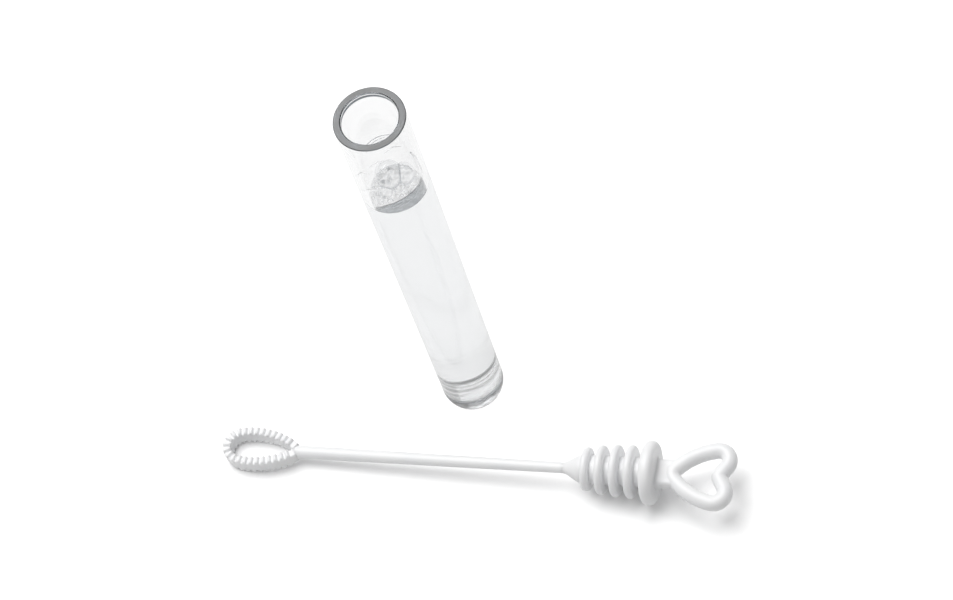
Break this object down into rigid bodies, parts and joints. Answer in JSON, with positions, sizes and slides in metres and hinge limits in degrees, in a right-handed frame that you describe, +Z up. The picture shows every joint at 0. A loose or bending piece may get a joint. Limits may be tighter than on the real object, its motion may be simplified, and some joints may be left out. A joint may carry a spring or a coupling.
{
  "type": "bubble wand with tube",
  "caption": "Clear tube of bubble solution with foam, and its white stoppered wand lying beside it, with a ribbed loop and a heart-shaped handle.",
  "frame": {"origin": "centre of the tube's flat foot, on the floor", "axes": "+Z up along the tube's bore towards its mouth; +X along the lying wand from its loop to its handle; the wand lies on the -Y side"},
  "size_m": [0.119, 0.0362, 0.119],
  "materials": {
    "clear_plastic": "clear polished",
    "solution": "clear liquid",
    "foam": "thin clear films",
    "white_plastic": "satin moulded"
  },
  "bodies": {
    "tube": {"tube_body": "clear_plastic", "bubble_solution": "solution", "foam_bubbles": "foam"},
    "wand": {"bubble_loop": "white_plastic", "stem": "white_plastic", "stopper_core": "white_plastic", "seal_rib_1": "white_plastic", "seal_rib_2": "white_plastic", "seal_rib_3": "white_plastic", "seal_rib_4": "white_plastic", "cap_flange": "white_plastic", "heart_handle": "white_plastic"}
  },
  "joints": [
    {"name": "wand_lift", "type": "slide", "parent": "tube", "child": "wand", "axis": [0, 0, 1], "range_m": [0, 0.14]}
  ]
}
